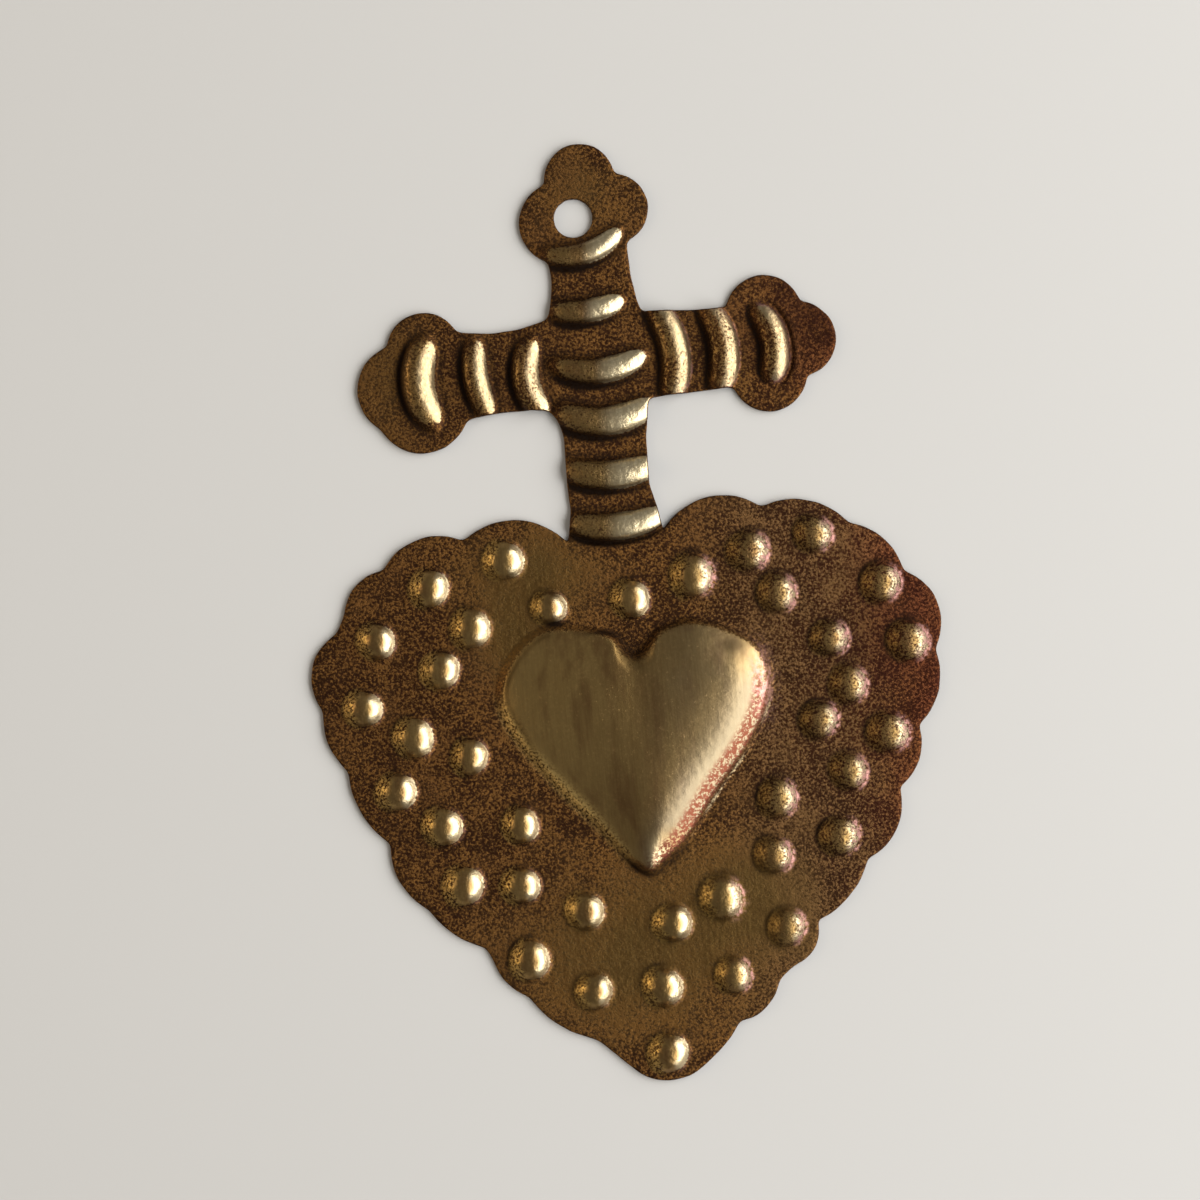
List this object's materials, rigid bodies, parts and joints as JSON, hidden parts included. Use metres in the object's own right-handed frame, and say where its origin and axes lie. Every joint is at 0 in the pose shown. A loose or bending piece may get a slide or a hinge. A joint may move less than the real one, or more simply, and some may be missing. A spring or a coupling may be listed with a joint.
{
  "type": "votive charm",
  "caption": "Thin pressed brass votive charm: scalloped heart plate with a plain raised heart and round beads, under a trefoil-ended cross with crescent ridges and a hanging hole.",
  "frame": {"origin": "middle of the charm's outline, on the plane of the flat back of the sheet", "axes": "+Z out of the struck face, +Y from the tip of the heart to the head of the cross, +X to the right seen from the face"},
  "size_m": [0.0511, 0.076, 0.0025],
  "materials": {
    "old_brass": "aged dark brown patina, rubbed bright on the raised beads and ridges"
  },
  "bodies": {
    "root": {"pressed_sheet": "old_brass"}
  },
  "joints": []
}
